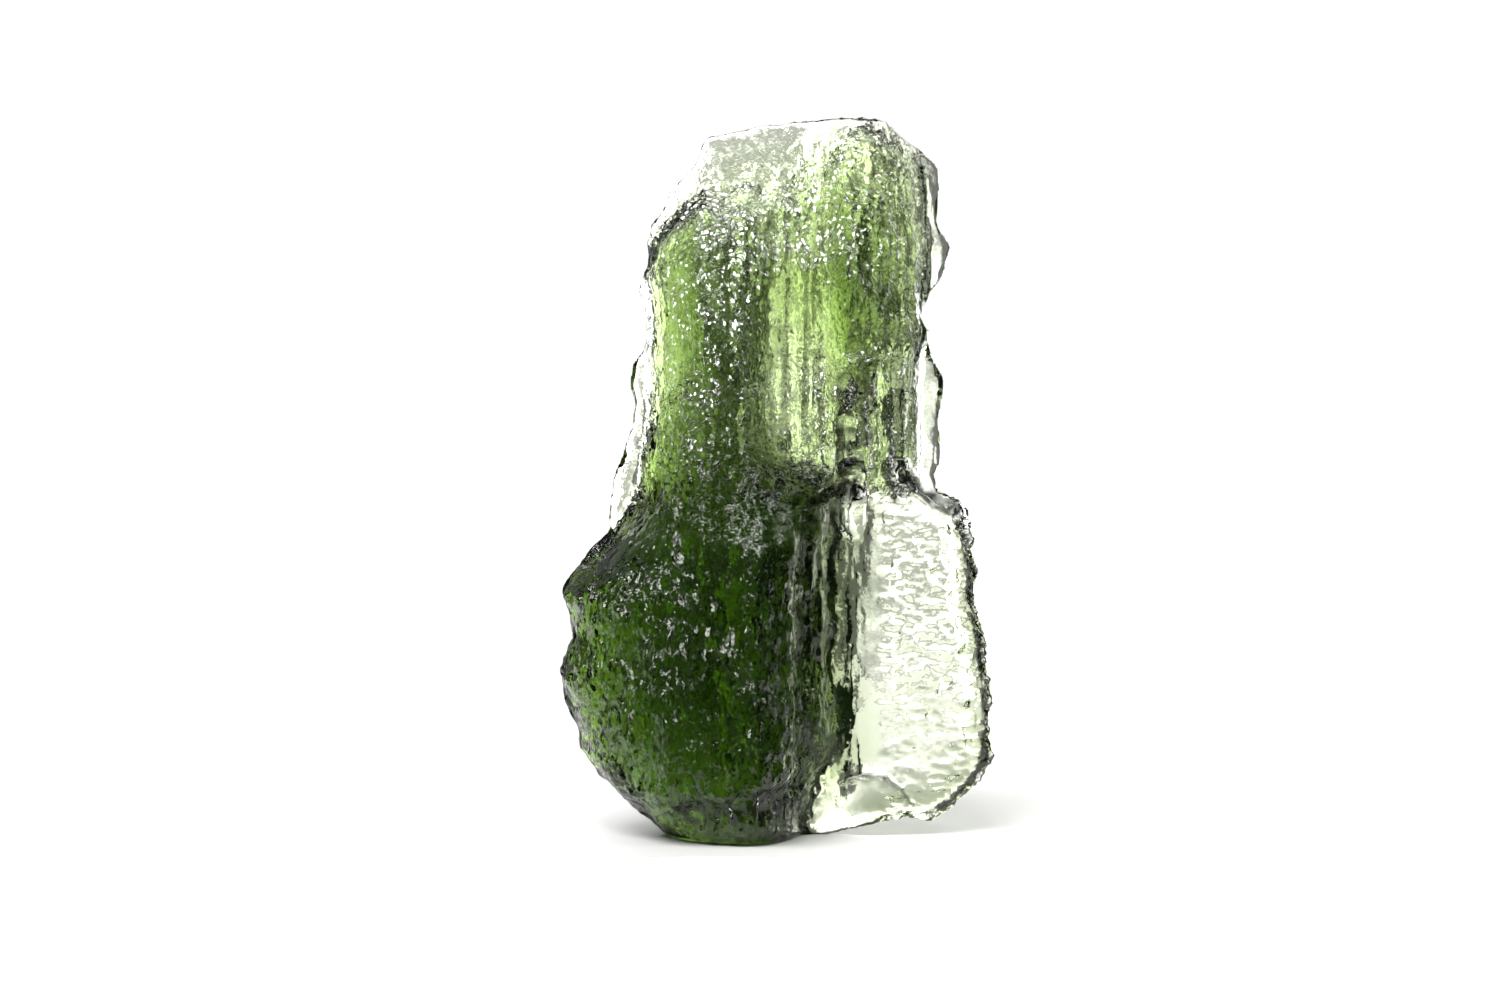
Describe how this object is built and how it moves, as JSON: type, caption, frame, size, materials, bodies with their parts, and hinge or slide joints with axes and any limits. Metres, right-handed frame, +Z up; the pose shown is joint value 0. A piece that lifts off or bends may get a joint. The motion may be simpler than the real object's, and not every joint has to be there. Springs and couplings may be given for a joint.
{
  "type": "moldavite",
  "caption": "Raw moldavite standing on a small flat spot: a thick etched core of green natural glass with thin clear fins at its edges.",
  "frame": {"origin": "on the surface the stone stands on, under the centre of its bounding box", "axes": "+Z up along the stone's length, +X to the right of the sculpted face, which looks along -Y"},
  "size_m": [0.0208, 0.012, 0.0342],
  "materials": {
    "moldavite_glass": "see-through bottle-green natural glass with a glossy, etched and pitted skin; almost colourless where it is thin"
  },
  "bodies": {
    "root": {"moldavite": "moldavite_glass"}
  },
  "joints": []
}
